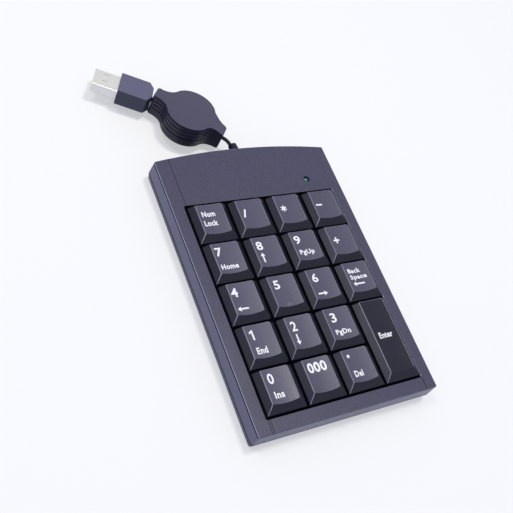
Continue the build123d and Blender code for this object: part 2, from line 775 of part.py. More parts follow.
# ---- Plug ----
plug_floor = Plane(
    Location(plug_face, (0, 0, plug_heading)) * Location((0, 0, 0), (reel_lean, 0, 0))
)
plug_along = plug_floor.x_dir
plug_cross = Plane(origin=plug_floor.origin, x_dir=plug_floor.y_dir, z_dir=plug_floor.x_dir)
plug_rear = plug_length + plug_taper

# ---- Cord: two short visible lengths, each running on into the reel ----
reel_mid = reel_floor.origin + reel_up * reel_parting
cord_in = reel_mid - reel_along * reel_reach
cord_out = reel_mid + reel_along * reel_reach
turn_out = cord_in.X / reel_along.X  # distance back from the nose to the line of the gland
corner = (0, cord_in.Y - reel_along.Y * turn_out, cord_z)
inside = reel_mid - reel_along * reel_room_radius
slope = (cord_in.Z - cord_z) / turn_out
inside = Vector(inside.X, inside.Y, cord_z + slope * (turn_out + reel_reach - reel_room_radius))
run_in = [Vector(0, header_back + 0.2, cord_z), Vector(*corner), inside]
turn_in = (run_in[1] - run_in[0]).get_angle(run_in[2] - run_in[1])
bend_in = 0.45 * min((run_in[1] - run_in[0]).length, (run_in[2] - run_in[1]).length)
bend_in /= math.tan(math.radians(turn_in / 2))
with BuildPart() as cord_to_reel:
    with BuildLine() as path_in:
        FilletPolyline(*run_in, radius=bend_in)
    with BuildSketch(Plane(origin=run_in[0], z_dir=(0, 1, 0))):
        Circle(cord_radius)
    sweep()
save(cord_to_reel, "cord_to_reel")
print("cord to reel: length", round(path_in.wires()[0].length, 2), "radius", round(bend_in, 2),
      "volume", round(cord_to_reel.part.volume, 2))

rear = plug_floor.origin - plug_along * plug_rear
turn_depth = ((rear - cord_out).cross(reel_along).Z) / plug_along.cross(reel_along).Z
plug_turn = rear - plug_along * turn_depth
out_start = reel_mid + reel_along * reel_room_radius
run_out = [out_start, plug_turn, plug_turn + plug_along * plug_cord_depth]
turn_plug = (run_out[1] - run_out[0]).get_angle(run_out[2] - run_out[1])
bend_out = 0.45 * plug_cord_depth / math.tan(math.radians(turn_plug / 2))
with BuildPart() as cord_to_plug:
    with BuildLine() as path_out:
        FilletPolyline(*run_out, radius=bend_out)
    with BuildSketch(Plane(origin=out_start, z_dir=run_out[1] - run_out[0])):
        Circle(cord_radius)
    sweep()
save(cord_to_plug, "cord_to_plug")
print("turn behind the plug", round(turn_depth, 2))
print("cord to plug: length", round(path_out.wires()[0].length, 2), "radius", round(bend_out, 2),
      "volume", round(cord_to_plug.part.volume, 2))

with BuildPart() as plug_overmould:
    with BuildSketch(plug_floor.offset(-plug_height / 2)):
        with BuildLine():
            Polyline((0, -plug_width / 2), (0, plug_width / 2), (-plug_length, plug_width / 2),
                     (-plug_rear, plug_tail / 2), (-plug_rear, -plug_tail / 2), (-plug_length, -plug_width / 2),
                     close=True)
        make_face()
    extrude(amount=plug_height)
    fillet(faces().filter_by(plug_floor).edges(), plug_round)
    with BuildSketch(Plane(origin=plug_turn, z_dir=run_out[0] - run_out[1])):
        Circle(plug_collar_radius)
    extrude(amount=plug_collar)
    with BuildSketch(plug_cross.offset(-shell_hidden)):
        Rectangle(shell_width, shell_height)
    extrude(amount=shell_hidden, mode=Mode.SUBTRACT)
    with BuildLine() as bore_path:
        FilletPolyline(*run_out, radius=bend_out)
    with BuildSketch(Plane(origin=out_start, z_dir=run_out[1] - run_out[0])):
        Circle(cord_radius + cord_gap)
    sweep(mode=Mode.SUBTRACT)
save(plug_overmould, "plug_overmould")

inner_width = shell_width - 2 * shell_wall
inner_height = shell_height - 2 * shell_wall
with BuildPart() as plug_shell:
    with BuildSketch(plug_cross.offset(-shell_hidden)):
        RectangleRounded(shell_width, shell_height, 0.4)
        Rectangle(inner_width, inner_height, mode=Mode.SUBTRACT)
    extrude(amount=shell_hidden + shell_length)
    with BuildSketch(plug_floor.offset(-shell_height)):
        with Locations((shell_length - window_back, -window_spread / 2),
                       (shell_length - window_back, window_spread / 2)):
            Rectangle(window_size, window_size)
    extrude(amount=2 * shell_height, mode=Mode.SUBTRACT)
save(plug_shell, "plug_shell")

tongue_low = -inner_height / 2 + tongue_gap
with BuildPart() as plug_tongue:
    with BuildSketch(plug_cross.offset(-shell_hidden)):
        Rectangle(inner_width - 2 * tongue_gap, inner_height - 2 * tongue_gap)
    extrude(amount=shell_hidden)
    with BuildSketch(plug_cross):
        with Locations((0, tongue_low + tongue_height / 2)):
            Rectangle(inner_width - 2 * tongue_gap, tongue_height)
    extrude(amount=shell_length - tongue_recess)
save(plug_tongue, "plug_tongue")

with BuildPart() as plug_contacts:
    with BuildSketch(plug_cross.offset(shell_length - tongue_recess - 0.6)):
        with Locations((0, tongue_low + tongue_height + contact_thickness / 2)):
            with GridLocations(contact_pitch, 1, 4, 1):
                Rectangle(contact_width, contact_thickness)
    extrude(amount=-contact_length)
save(plug_contacts, "plug_contacts")
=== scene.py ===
import bpy
import math
from mathutils import Matrix, Vector


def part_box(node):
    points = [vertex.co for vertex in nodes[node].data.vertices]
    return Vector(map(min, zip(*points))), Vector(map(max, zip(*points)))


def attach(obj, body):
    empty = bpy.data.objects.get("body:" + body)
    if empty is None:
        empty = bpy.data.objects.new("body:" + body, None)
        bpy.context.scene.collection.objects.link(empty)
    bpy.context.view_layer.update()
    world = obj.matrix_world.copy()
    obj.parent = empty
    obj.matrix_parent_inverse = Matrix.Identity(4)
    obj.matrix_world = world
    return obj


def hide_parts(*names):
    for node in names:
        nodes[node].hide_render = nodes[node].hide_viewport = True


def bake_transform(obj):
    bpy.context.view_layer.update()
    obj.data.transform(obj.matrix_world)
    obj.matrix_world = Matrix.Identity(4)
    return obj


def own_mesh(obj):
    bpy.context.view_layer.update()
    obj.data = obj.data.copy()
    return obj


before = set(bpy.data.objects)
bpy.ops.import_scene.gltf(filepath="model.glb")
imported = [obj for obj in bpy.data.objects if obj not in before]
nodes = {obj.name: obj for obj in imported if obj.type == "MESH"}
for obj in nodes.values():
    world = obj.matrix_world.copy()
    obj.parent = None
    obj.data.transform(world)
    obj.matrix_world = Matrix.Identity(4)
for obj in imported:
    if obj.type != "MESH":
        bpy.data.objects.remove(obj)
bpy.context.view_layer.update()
mm = 0.001
seamGap = 0.001 * mm
keyNames = [name for name in nodes if name.startswith("key_") and name != "key_guide_plate"]
print("frame loaded")

# camera above the front left corner, looking down at the keys
view = {
    "place": (-178.8, -119.6, 275.8),
    "right": (0.86109, -0.35528, 0.36373),
    "back": (-0.48890, -0.38209, 0.78421),
    "lens": 56.12,
    "sensor": 36,
    "near": 0.01,
    "far": 10,
}
camData = bpy.data.cameras.new("camera")
camData.sensor_width = view["sensor"]
camData.lens = view["lens"]
camData.clip_start = view["near"]
camData.clip_end = view["far"]
camera = bpy.data.objects.new("camera", camData)
bpy.context.collection.objects.link(camera)
camBack = Vector(view["back"]).normalized()
camUp = camBack.cross(Vector(view["right"])).normalized()
camRight = camUp.cross(camBack)
camTurn = Matrix((camRight, camUp, camBack)).transposed().to_4x4()
camera.matrix_world = Matrix.Translation(Vector(view["place"]) * mm) @ camTurn
bpy.context.scene.camera = camera

# where the reel and the plug lie; both lean over to one side, the reel on its lower edge
reel = {
    "centre": (-18.05, 85.5),
    "halfWidth": 13.9,
    "heading": 139.5,
    "lean": 11.0,
    "level": 5.0,
    "reach": 18.0,
}
reelLift = reel["halfWidth"] * math.sin(math.radians(reel["lean"]))
plug = {"face": (-45.0, 106.3, 7.2), "heading": 151.6, "turn": 12.6, "depth": 5.0}

# cord from the gland through one nose of the reel and round its spool, and its twin to the plug
winding = {
    "perTurn": 14,
    "turns": 2.7,
    "outer": 10.8,
    "inner": 5.95,
    "middle": 5.3,
    "startTurn": 157,
}
cord = {
    "radius": 0.875,
    "length": 0.3,
    "gland": (0, 70.05, 6.7),
    "header": (0, 58, 6.7),
    "steps": 8,
    "rings": 4,
}


def leaning(place, heading):
    return (Matrix.Translation(Vector(place)) @ Matrix.Rotation(math.radians(heading), 4, "Z")
            @ Matrix.Rotation(math.radians(reel["lean"]), 4, "X"))


reelFrame = leaning((*reel["centre"], reelLift), reel["heading"])
plugFrame = leaning(plug["face"], plug["heading"])


def link(obj):
    bpy.context.collection.objects.link(obj)
    return obj


def chooseOnly(*objs):
    bpy.ops.object.select_all(action="DESELECT")
    for obj in objs:
        obj.select_set(True)
    bpy.context.view_layer.objects.active = objs[-1]


def closeSeams(obj, gap):
    chooseOnly(obj)
    bpy.ops.object.mode_set(mode="EDIT")
    bpy.ops.mesh.select_all(action="SELECT")
    bpy.ops.mesh.remove_doubles(threshold=gap)
    bpy.ops.mesh.normals_make_consistent(inside=False)
    bpy.ops.object.mode_set(mode="OBJECT")


def splineCurve(name, points):
    data = bpy.data.curves.new(name, "CURVE")
    data.dimensions = "3D"
    data.resolution_u = cord["steps"]
    spline = data.splines.new("NURBS")
    spline.points.add(len(points) - 1)
    for point, place in zip(spline.points, points):
        point.co = (*(Vector(place) * mm), 1)
    spline.order_u = 3
    spline.use_endpoint_u = True
    return link(bpy.data.objects.new(name, data))


def followTube(name, points, radius):
    # round tube along a smooth spline, and the line it follows
    lineObj = splineCurve(name + "_line", points)
    bpy.context.view_layer.update()
    graph = bpy.context.evaluated_depsgraph_get()
    lineMesh = bpy.data.meshes.new_from_object(lineObj.evaluated_get(graph))
    path = [v.co.copy() for v in lineMesh.vertices]
    bpy.data.meshes.remove(lineMesh)
    lineObj.data.bevel_depth = radius * mm
    lineObj.data.bevel_resolution = cord["rings"]
    lineObj.data.use_fill_caps = True
    chooseOnly(lineObj)
    bpy.ops.object.convert(target="MESH")
    tube = bpy.context.view_layer.objects.active
    tube.name = name
    tube.data.name = name
    closeSeams(tube, seamGap)
    for face in tube.data.polygons:
        face.use_smooth = True
    return tube, path


def windings(start, low, high):
    # two flat layers of turns: inwards on the first level, and out again on the second
    points = []
    steps = int(winding["turns"] * winding["perTurn"])
    for layer, level in enumerate((low, high)):
        for k in range(steps + 1):
            t = k / steps
            if layer:
                t = 1 - t
            r = winding["outer"] + (winding["inner"] - winding["outer"]) * t
            angle = math.radians(start) - (layer + k / steps) * winding["turns"] * 2 * math.pi
            points.append(reelFrame @ Vector((r * math.cos(angle), r * math.sin(angle), level)))
        if layer == 0:
            points.pop()
    return points


noseCord = reelFrame @ Vector((-reel["reach"], 0, reel["level"]))
nosePlug = reelFrame @ Vector((reel["reach"], 0, reel["level"]))
along = (reelFrame.to_3x3() @ Vector((1, 0, 0))).normalized()
plugAlong = (plugFrame.to_3x3() @ Vector((1, 0, 0))).normalized()
# the cord runs straight back from the gland, and turns where it meets the line of the nose
corner = noseCord - along * (noseCord.x / along.x)
corner.z = cord["gland"][2]
plugTurn = plugFrame @ Vector((-plug["turn"], 0, 0))
leadIn = [(-16.4, 0.0, 5.0), (-13.4, 0.15, 4.95), (-11.3, 1.6, 4.8)]
cords = {
    "keypadCord": {
        "lead": [Vector(cord["header"]), corner] + [reelFrame @ Vector(p) for p in leadIn],
        "start": winding["startTurn"], "low": 4.42, "high": 2.65,
        "bodies": ("casing", "reel"), "from": Vector(cord["gland"]), "to": noseCord,
        "replaces": ("cord_to_reel", "wound_cord"), "end": "fitting",
        "with": ["cable_gland", "reel_top_shell", "reel_bottom_shell"],
    },
    "plugCord": {
        "lead": [plugTurn + plugAlong * plug["depth"], plugTurn]
        + [reelFrame @ Vector((-x, -y, 2 * winding["middle"] - z)) for x, y, z in leadIn],
        "start": winding["startTurn"] - 180, "low": 6.18, "high": 7.95,
        "bodies": ("reel", "plug"), "from": nosePlug, "to": plugTurn,
        "replaces": ("cord_to_plug",), "end": "plug",
        "with": ["plug_overmould", "plug_shell"],
    },
}
for name, spec in cords.items():
    route = spec["lead"] + windings(spec["start"], spec["low"], spec["high"])
    if name == "plugCord":
        route.reverse()
    tube, path = followTube(name, route, cord["radius"])
    length = sum((b - a).length for a, b in zip(path, path[1:]))
    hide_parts(*spec["replaces"])
    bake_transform(tube)
    spec["tube"] = tube
    print(name, "length", round(length, 4))


# a main lamp above and to the right, a weak one on the left, a bluish surround and a pale floor
lamps = {
    "mainLamp": {
        "place": (0.17, 0.12, 1.12),
        "size": 0.2,
        "power": 5.4,
        "colour": (1.0, 0.95, 0.84),
    },
    "leftLamp": {
        "place": (-0.47, 0.28, 0.98),
        "size": 0.3,
        "power": 2.3,
        "colour": (1.0, 0.96, 0.92),
    },
}
studio = {
    "surround": (0.38, 0.42, 0.56, 1),
    "seen": (1, 1, 1, 1),
    "floor": (0.95, 0.95, 0.95, 1),
    "floorSize": 8,
    "floorRough": 0.6,
    "floorShine": 0.1,
    "floorGlow": 0.48,
}


def backgroundNode(tree, colour):
    node = tree.nodes.new("ShaderNodeBackground")
    node.inputs["Color"].default_value = colour
    node.inputs["Strength"].default_value = 1
    return node


def mathNode(tree, operation, *values):
    # a math node whose inputs are linked from a socket or set to a number
    node = tree.nodes.new("ShaderNodeMath")
    node.operation = operation
    for slot, value in enumerate(values):
        if isinstance(value, bpy.types.NodeSocket):
            tree.links.new(value, node.inputs[slot])
        else:
            node.inputs[slot].default_value = value
    return node.outputs["Value"]


def mixShaders(tree, share, first, second, output):
    node = tree.nodes.new("ShaderNodeMixShader")
    tree.links.new(share, node.inputs["Fac"])
    tree.links.new(first, node.inputs[1])
    tree.links.new(second, node.inputs[2])
    tree.links.new(node.outputs["Shader"], output.inputs["Surface"])


for name, spec in lamps.items():
    data = bpy.data.lights.new(name, "AREA")
    data.shape = "DISK"
    data.size = spec["size"]
    data.energy = spec["power"]
    data.color = spec["colour"]
    lamp = link(bpy.data.objects.new(name, data))
    lamp.location = spec["place"]
    lamp.rotation_mode = "QUATERNION"
    lamp.rotation_quaternion = Vector(spec["place"]).to_track_quat("Z", "Y")

world = bpy.data.worlds.new("studio")
bpy.context.scene.world = world
world.use_nodes = True
tree = world.node_tree
tree.nodes.clear()
out = tree.nodes.new("ShaderNodeOutputWorld")
seen = backgroundNode(tree, studio["seen"])
lit = backgroundNode(tree, studio["surround"])
rays = tree.nodes.new("ShaderNodeLightPath")
direct = mathNode(tree, "MAXIMUM", rays.outputs["Is Camera Ray"], rays.outputs["Is Glossy Ray"])
through = mathNode(tree, "MAXIMUM", direct, rays.outputs["Is Transmission Ray"])
mixShaders(tree, through, lit.outputs["Background"], seen.outputs["Background"], out)

bpy.ops.mesh.primitive_plane_add(size=studio["floorSize"], location=(0, 0, 0))
floor = bpy.context.object
floor.name = "floor"
floorMat = bpy.data.materials.new("paleFloor")
floorMat.use_nodes = True
tree = floorMat.node_tree
shader = tree.nodes["Principled BSDF"]
shader.inputs["Base Color"].default_value = studio["floor"]
shader.inputs["Roughness"].default_value = studio["floorRough"]
shader.inputs["Specular IOR Level"].default_value = studio["floorShine"]
glow = tree.nodes.new("ShaderNodeEmission")
rays = tree.nodes.new("ShaderNodeLightPath")
share = mathNode(tree, "MULTIPLY", rays.outputs["Is Camera Ray"], studio["floorGlow"])
mixShaders(tree, share, shader.outputs["BSDF"], glow.outputs["Emission"],
           tree.nodes["Material Output"])
floor.data.materials.append(floorMat)
print("light, surround and floor set")


# what all plastics and all metals have alike
plasticLook = {
    "grain": 2600,
    "grainDetail": 2,
    "patches": 60,
    "patchDetail": 3,
    "low": 0.3,
    "high": 0.7,
    "speck": 0.1,
    "roughChange": 0.04,
    "shine": 0.5,
    "relief": 0.00008,
    # colour of the bands of painted shade
    "shadeLineColour": (0.012, 0.012, 0.03, 1),
}
metalLook = {
    "grain": 900,
    "grainDetail": 4,
    "roughChange": 0.1,
    "bump": 0.15,
    "relief": 0.00003,
    "darkest": 0.92,
}


def newMaterial(name):
    mat = bpy.data.materials.new(name)
    mat.use_nodes = True
    return mat, mat.node_tree, mat.node_tree.nodes["Principled BSDF"]


def noiseNode(tree, where, scale, detail):
    node = tree.nodes.new("ShaderNodeTexNoise")
    node.inputs["Scale"].default_value = scale
    node.inputs["Detail"].default_value = detail
    tree.links.new(where, node.inputs["Vector"])
    return node.outputs["Fac"]


def rampNode(tree, pattern, low, high):
    node = tree.nodes.new("ShaderNodeValToRGB")
    node.color_ramp.elements[0].color = (*low, 1)
    node.color_ramp.elements[1].color = (*high, 1)
    tree.links.new(pattern, node.inputs["Fac"])
    return node


def glossNode(tree, pattern, shader, rough, change):
    node = tree.nodes.new("ShaderNodeMapRange")
    node.inputs["To Min"].default_value = rough - change
    node.inputs["To Max"].default_value = rough + change
    tree.links.new(pattern, node.inputs["Value"])
    tree.links.new(node.outputs["Result"], shader.inputs["Roughness"])
    return node


def bumpNode(tree, pattern, shader, strength, distance):
    node = tree.nodes.new("ShaderNodeBump")
    node.inputs["Strength"].default_value = strength
    node.inputs["Distance"].default_value = distance
    tree.links.new(pattern, node.inputs["Height"])
    tree.links.new(node.outputs["Normal"], shader.inputs["Normal"])


def paintedShadeLine(tree, where, paint, level, half):
    # a level band of painted shade where two mouldings meet
    apart = tree.nodes.new("ShaderNodeSeparateXYZ")
    tree.links.new(where, apart.inputs["Vector"])
    near = mathNode(tree, "COMPARE", apart.outputs["Z"], level * mm, half * mm)
    mixed = tree.nodes.new("ShaderNodeMix")
    mixed.data_type = "RGBA"
    plain, line = [socket for socket in mixed.inputs if socket.type == "RGBA"]
    line.default_value = plasticLook["shadeLineColour"]
    tree.links.new(near, mixed.inputs["Factor"])
    tree.links.new(paint, plain)
    return next(socket for socket in mixed.outputs if socket.type == "RGBA")


def plastic(name, look):
    # moulded plastic: fine grain in the bump, and slight unevenness in colour and gloss
    look = {**plasticLook, **look}
    mat, tree, shader = newMaterial(name)
    where = tree.nodes.new("ShaderNodeTexCoord").outputs["Object"]
    fine = noiseNode(tree, where, look["grain"], look["grainDetail"])
    broad = noiseNode(tree, where, look["patches"], look["patchDetail"])
    tone = rampNode(tree, fine, [c * (1 - look["speck"]) for c in look["colour"]],
                    [c * (1 + look["speck"]) for c in look["colour"]])
    tone.color_ramp.elements[0].position = look["low"]
    tone.color_ramp.elements[1].position = look["high"]
    paint = tone.outputs["Color"]
    # bands of painted shade at the given heights
    for level, half in look.get("lines", ()):
        paint = paintedShadeLine(tree, where, paint, level, half)
    tree.links.new(paint, shader.inputs["Base Color"])
    gloss = glossNode(tree, broad, shader, look["rough"], look["roughChange"])
    gloss.inputs["From Min"].default_value = look["low"]
    gloss.inputs["From Max"].default_value = look["high"]
    shader.inputs["Specular IOR Level"].default_value = look["shine"]
    if "tint" in look:
        shader.inputs["Specular Tint"].default_value = (*look["tint"], 1)
    if "bump" in look:
        bumpNode(tree, fine, shader, look["bump"], look["relief"])
    return mat


def metal(name, look):
    # brushed metal: fine streaks in gloss and bump
    look = {**metalLook, **look}
    mat, tree, shader = newMaterial(name)
    coords = tree.nodes.new("ShaderNodeTexCoord")
    place = tree.nodes.new("ShaderNodeMapping")
    place.inputs["Rotation"].default_value = (0, 0, -math.radians(plug["heading"]))
    if "stretch" in look:
        place.inputs["Scale"].default_value = look["stretch"]
    tree.links.new(coords.outputs["Object"], place.inputs["Vector"])
    streak = noiseNode(tree, place.outputs["Vector"], look["grain"], look["grainDetail"])
    glossNode(tree, streak, shader, look["rough"], look["roughChange"])
    bumpNode(tree, streak, shader, look["bump"], look["relief"])
    tint = rampNode(tree, streak, [c * look["darkest"] for c in look["colour"]], look["colour"])
    tree.links.new(tint.outputs["Color"], shader.inputs["Base Color"])
    shader.inputs["Metallic"].default_value = 1
    return mat


plastics = {
    "caseGrain": {
        "colour": (0.028, 0.027, 0.072),
        "rough": 0.45,
        "grain": 1700,
        "bump": 0.6,
        "speck": 0.35,
        "shine": 0.52,
    },
    # sides of the top cover: a smoother finish, painted lighter and bluer than the top as a
    # painted sheen, with a band of painted shade at the parting line
    "caseSmoothSheen": {
        "colour": (0.095, 0.093, 0.175),
        "rough": 0.3,
        "grain": 1500,
        "speck": 0.05,
        "lines": ((4.6, 0.5),),
    },
    # bottom cover: a slightly darker copy of the painted side sheen, with bands of painted shade
    # at the parting line and along the bottom edge
    "caseUnderDimSheen": {
        "colour": (0.062, 0.07, 0.108),
        "rough": 0.35,
        "grain": 1500,
        "speck": 0.05,
        "lines": ((4.6, 0.6), (1.1, 0.4)),
    },
    # painted highlight on the outer rims of the top cover and on the bevel along the well's edge
    "caseRimHighlight": {"colour": (0.3, 0.3, 0.4), "rough": 0.4, "grain": 1500},
    # painted shade in the parting seam and along the lower edge of the bottom cover
    "paintedSeamShade": {"colour": (0.012, 0.012, 0.03), "rough": 0.6, "grain": 1500, "shine": 0.1},
    # painted shade on the faces inside the well
    "paintedWellShade": {"colour": (0.012, 0.0115, 0.018), "rough": 0.6, "grain": 2000, "shine": 0.2},
    "keyGrain": {
        "colour": (0.022, 0.02, 0.07),
        "rough": 0.42,
        "grain": 1700,
        "bump": 0.9,
        "speck": 0.45,
        "shine": 0.75,
    },
    # sides of the keys, painted darker than the tops as painted shade
    "keySideShade": {
        "colour": (0.009, 0.009, 0.018),
        "rough": 0.32,
        "bump": 0.2,
        "speck": 0.15,
        "shine": 0.26,
        "tint": (0.8, 0.83, 1.0),
    },
    # fronts of the keys, painted darker still as painted shade
    "keyFrontShade": {
        "colour": (0.006, 0.006, 0.013),
        "rough": 0.35,
        "bump": 0.2,
        "speck": 0.15,
        "shine": 0.1,
        "tint": (0.8, 0.83, 1.0),
    },
    # painted highlight on the bevelled top rims of the keys and on their front left corners
    "keyRimHighlight": {"colour": (0.17, 0.165, 0.22), "rough": 0.4, "speck": 0.15},
    # top of the Enter key: the same plastic as the other tops, painted darker as painted shade
    "enterTopShade": {
        "colour": (0.017, 0.016, 0.031),
        "rough": 0.4,
        "bump": 0.4,
        "speck": 0.2,
        "shine": 0.15,
    },
    "reelSatin": {
        "colour": (0.046, 0.043, 0.088),
        "rough": 0.5,
        "grain": 3000,
        "bump": 0.25,
        "shine": 0.4,
    },
    # painted shade on the sides of the reel and on its bottom shell
    "reelShade": {"colour": (0.02, 0.02, 0.038), "rough": 0.35, "grain": 3000, "shine": 0.3},
    "plugSatin": {"colour": (0.085, 0.085, 0.165), "rough": 0.42, "bump": 0.15, "shine": 0.45},
    # painted shade on the sides of the plug's overmould
    "plugSideShade": {"colour": (0.03, 0.033, 0.065), "rough": 0.42, "bump": 0.15, "shine": 0.4},
    "cordBlack": {
        "colour": (0.01, 0.01, 0.018),
        "rough": 0.42,
        "bump": 0.1,
        "shine": 0.2,
        "tint": (0.8, 0.83, 1.0),
    },
    "innerBlack": {"colour": (0.015, 0.015, 0.017), "rough": 0.55, "bump": 0.2},
    "footRubber": {
        "colour": (0.016, 0.016, 0.017),
        "rough": 0.8,
        "grain": 3000,
        "bump": 0.4,
        "speck": 0.2,
    },
    "domeRubber": {"colour": (0.5, 0.5, 0.48), "rough": 0.6, "grain": 2000, "speck": 0.05},
    "film": {"colour": (0.5, 0.56, 0.54), "rough": 0.2, "grain": 600, "speck": 0.08},
    "board": {"colour": (0.02, 0.13, 0.05), "rough": 0.4, "grain": 900, "speck": 0.15},
    "epoxy": {"colour": (0.008, 0.008, 0.008), "rough": 0.15, "grain": 900},
    "whitePlastic": {"colour": (0.72, 0.71, 0.68), "rough": 0.35, "grain": 2000, "speck": 0.03},
    "greenLamp": {"colour": (0.015, 0.2, 0.1), "rough": 0.15, "grain": 900, "speck": 0.25},
    "legendInk": {
        "colour": (0.92, 0.92, 0.92),
        "rough": 0.5,
        "grain": 3000,
        "speck": 0.03,
        "shine": 0.3,
    },
}
metals = {
    "steel": {"colour": (0.5, 0.5, 0.51), "rough": 0.35},
    "plugSteel": {"colour": (0.7, 0.7, 0.7), "rough": 0.3, "stretch": (0.25, 1, 1), "grain": 1400},
    "gold": {"colour": (0.78, 0.6, 0.28), "rough": 0.25},
}
mats = {name: plastic(name, look) for name, look in plastics.items()}
mats.update({name: metal(name, look) for name, look in metals.items()})

keySlots = ("keySideShade", "keyRimHighlight", "keyFrontShade")
finish = {
    "top_cover": ("caseGrain", "caseSmoothSheen", "paintedWellShade", "caseRimHighlight", "paintedSeamShade"),
    "bottom_cover": ("caseUnderDimSheen", "paintedSeamShade"),
    "key_enter": ("enterTopShade", *keySlots),
    "reel_top_shell": ("reelSatin", "reelShade"),
    "plug_overmould": ("plugSatin", "plugSideShade"),
    "rubber_feet": ("footRubber",),
    "case_screws": ("steel",),
    "key_guide_plate": ("innerBlack",),
    "dome_mat": ("domeRubber",),
    "membrane": ("film",),
    "controller_board": ("board",),
    "controller_chip": ("epoxy",),
    "cable_header": ("whitePlastic",),
    "status_led": ("greenLamp",),
    "cable_gland": ("cordBlack",),
    "cord_to_reel": ("cordBlack",),
    "reel_bottom_shell": ("reelShade",),
    "reel_screw": ("steel",),
    "spool_spring": ("steel",),
    "reel_spool": ("innerBlack",),
    "wound_cord": ("cordBlack",),
    "cord_to_plug": ("cordBlack",),
    "plug_shell": ("plugSteel",),
    "plug_tongue": ("whitePlastic",),
    "plug_contacts": ("gold",),
}
finish.update({name: ("keyGrain", *keySlots) for name in keyNames if name != "key_enter"})


def coat(obj, *names):
    obj.data.materials.clear()
    for name in names:
        obj.data.materials.append(mats[name])


# which faces of a piece take which of its materials
well = {"half": 38.15, "front": -59.1, "back": 37.7}
rail = {"side": 43.0, "level": 11.6, "flat": 0.9, "edgeTilt": 0.15}
seam = {"level": 4.4, "half": 0.2, "upright": 0.2, "flat": 0.95, "hem": 1.6}
keyFace = {
    "flat": 0.97,
    "topLevel": 14.3,
    "front": -0.5,
    "cornerLeft": -0.15,
    "cornerFront": -0.12,
    "cornerUpright": 0.3,
    "cornerLevel": 13.2,
}
reelFlat = 0.8
reelUp = reelFrame.to_3x3() @ Vector((0, 0, 1))


def inSeam(face):
    return (abs(face.center.z / mm - seam["level"]) < seam["half"]
            and seam["upright"] < abs(face.normal.z) < seam["flat"])


def coverFinish(face):
    # faces in the parting seam take painted shade
    if inSeam(face):
        return "paintedSeamShade"
    middle = face.center / mm
    # faces inside the well take painted shade
    if abs(middle.x) < well["half"] and well["front"] < middle.y < well["back"]:
        return "paintedWellShade"
    if face.normal.z >= rail["flat"]:
        return "caseGrain"
    edge = abs(middle.x) > rail["side"] and middle.z > rail["level"]
    # upward-leaning faces of the outer rim take the painted highlight
    return "caseRimHighlight" if edge and face.normal.z > rail["edgeTilt"] else "caseSmoothSheen"


def trayFinish(face):
    # downward faces of the lower edge and the seam take painted shade
    hem = face.center.z / mm < seam["hem"] and face.normal.z < -seam["upright"]
    return "paintedSeamShade" if hem or inSeam(face) else "caseUnderDimSheen"


def keyFinish(face):
    normal, level = face.normal, face.center.z / mm
    # the slanted front left corner of a key takes the painted highlight
    if (normal.x < keyFace["cornerLeft"] and normal.y < keyFace["cornerFront"]
            and keyFace["cornerUpright"] < normal.z < keyFace["flat"]
            and level > keyFace["cornerLevel"]):
        return "keyRimHighlight"
    # sides and fronts of a key take painted shade, the fronts darker
    if normal.z < keyFace["flat"] or level < keyFace["topLevel"]:
        return "keyFrontShade" if normal.y < keyFace["front"] else "keySideShade"
    return None


def reelFinish(face):
    # faces of the reel that do not face up take painted shade
    return "reelShade" if face.normal.dot(reelUp) < reelFlat else None


def plugFinish(face):
    # faces of the overmould that do not face up take painted shade
    return "plugSideShade" if face.normal.dot(reelUp) < reelFlat else None


chooser = {
    "top_cover": coverFinish,
    "bottom_cover": trayFinish,
    "reel_top_shell": reelFinish,
    "plug_overmould": plugFinish,
}
chooser.update({name: keyFinish for name in keyNames})
for name, obj in nodes.items():
    coat(obj, *finish[name])
    choose = chooser.get(name)
    for face in obj.data.polygons:
        chosen = choose(face) if choose else None
        face.material_index = finish[name].index(chosen) if chosen else 0
for spec in cords.values():
    coat(spec["tube"], "cordBlack")
print("materials set")


# fine rounding on the rims of the keys and of the well, its new faces painted as a highlight
rims = {
    "angle": 30,
    "segments": 2,
    "grid": 1e6,
    "keyWidth": 0.2,
    "keyLowest": 14.3,
    "coverWidth": 0.25,
    "coverLowest": 11.9,
    "coverReach": 0.2,
}


def roundRim(name, width, chosen):
    # mark the sharp edges between chosen corners, and bevel them
    obj = nodes[name]
    mesh = obj.data
    sides = {}
    corners = [tuple(round(c * rims["grid"]) for c in v.co) for v in mesh.vertices]
    for face in mesh.polygons:
        for a, b in face.edge_keys:
            sides.setdefault(frozenset((corners[a], corners[b])), []).append(face.normal)
    weights = mesh.attributes.new("bevel_weight_edge", "FLOAT", "EDGE")
    for edge in mesh.edges:
        a, b = edge.vertices
        turn = sides[frozenset((corners[a], corners[b]))]
        sharp = len(turn) == 2 and turn[0].angle(turn[1]) > math.radians(rims["angle"])
        if sharp and chosen(mesh.vertices[a].co / mm) and chosen(mesh.vertices[b].co / mm):
            weights.data[edge.index].value = 1
    weld = obj.modifiers.new("weld", "WELD")
    weld.merge_threshold = seamGap
    bevel = obj.modifiers.new("rim", "BEVEL")
    bevel.limit_method = "WEIGHT"
    bevel.width = width * mm
    bevel.segments = rims["segments"]
    # the new bevel faces take the painted highlight
    bevel.material = finish[name].index("keyRimHighlight" if name in keyNames else "caseRimHighlight")
    bevel.use_clamp_overlap = False
    bevel.loop_slide = False
    even = obj.modifiers.new("normals", "WEIGHTED_NORMAL")
    even.keep_sharp = True


def onKeyRim(place):
    return place.z > rims["keyLowest"]


def onWellRim(place):
    return (place.z > rims["coverLowest"]
            and abs(place.x - well["half"]) < rims["coverReach"]
            and well["front"] < place.y < well["back"])


for name in keyNames:
    roundRim(name, rims["keyWidth"], onKeyRim)
roundRim("top_cover", rims["coverWidth"], onWellRim)
print("rims rounded")


# the hollow top of a key, the ink on it, and how letters and flat shapes are made
keyTop = {"shift": 1.65, "edge": 15.0, "half": 6.15, "dish": 60.0, "ink": 0.035}
letter = {"weight": 0.024, "wordWeight": 0.033, "wordSpace": 1.08, "steps": 3, "gap": 0.003}
halfThick = 0.5

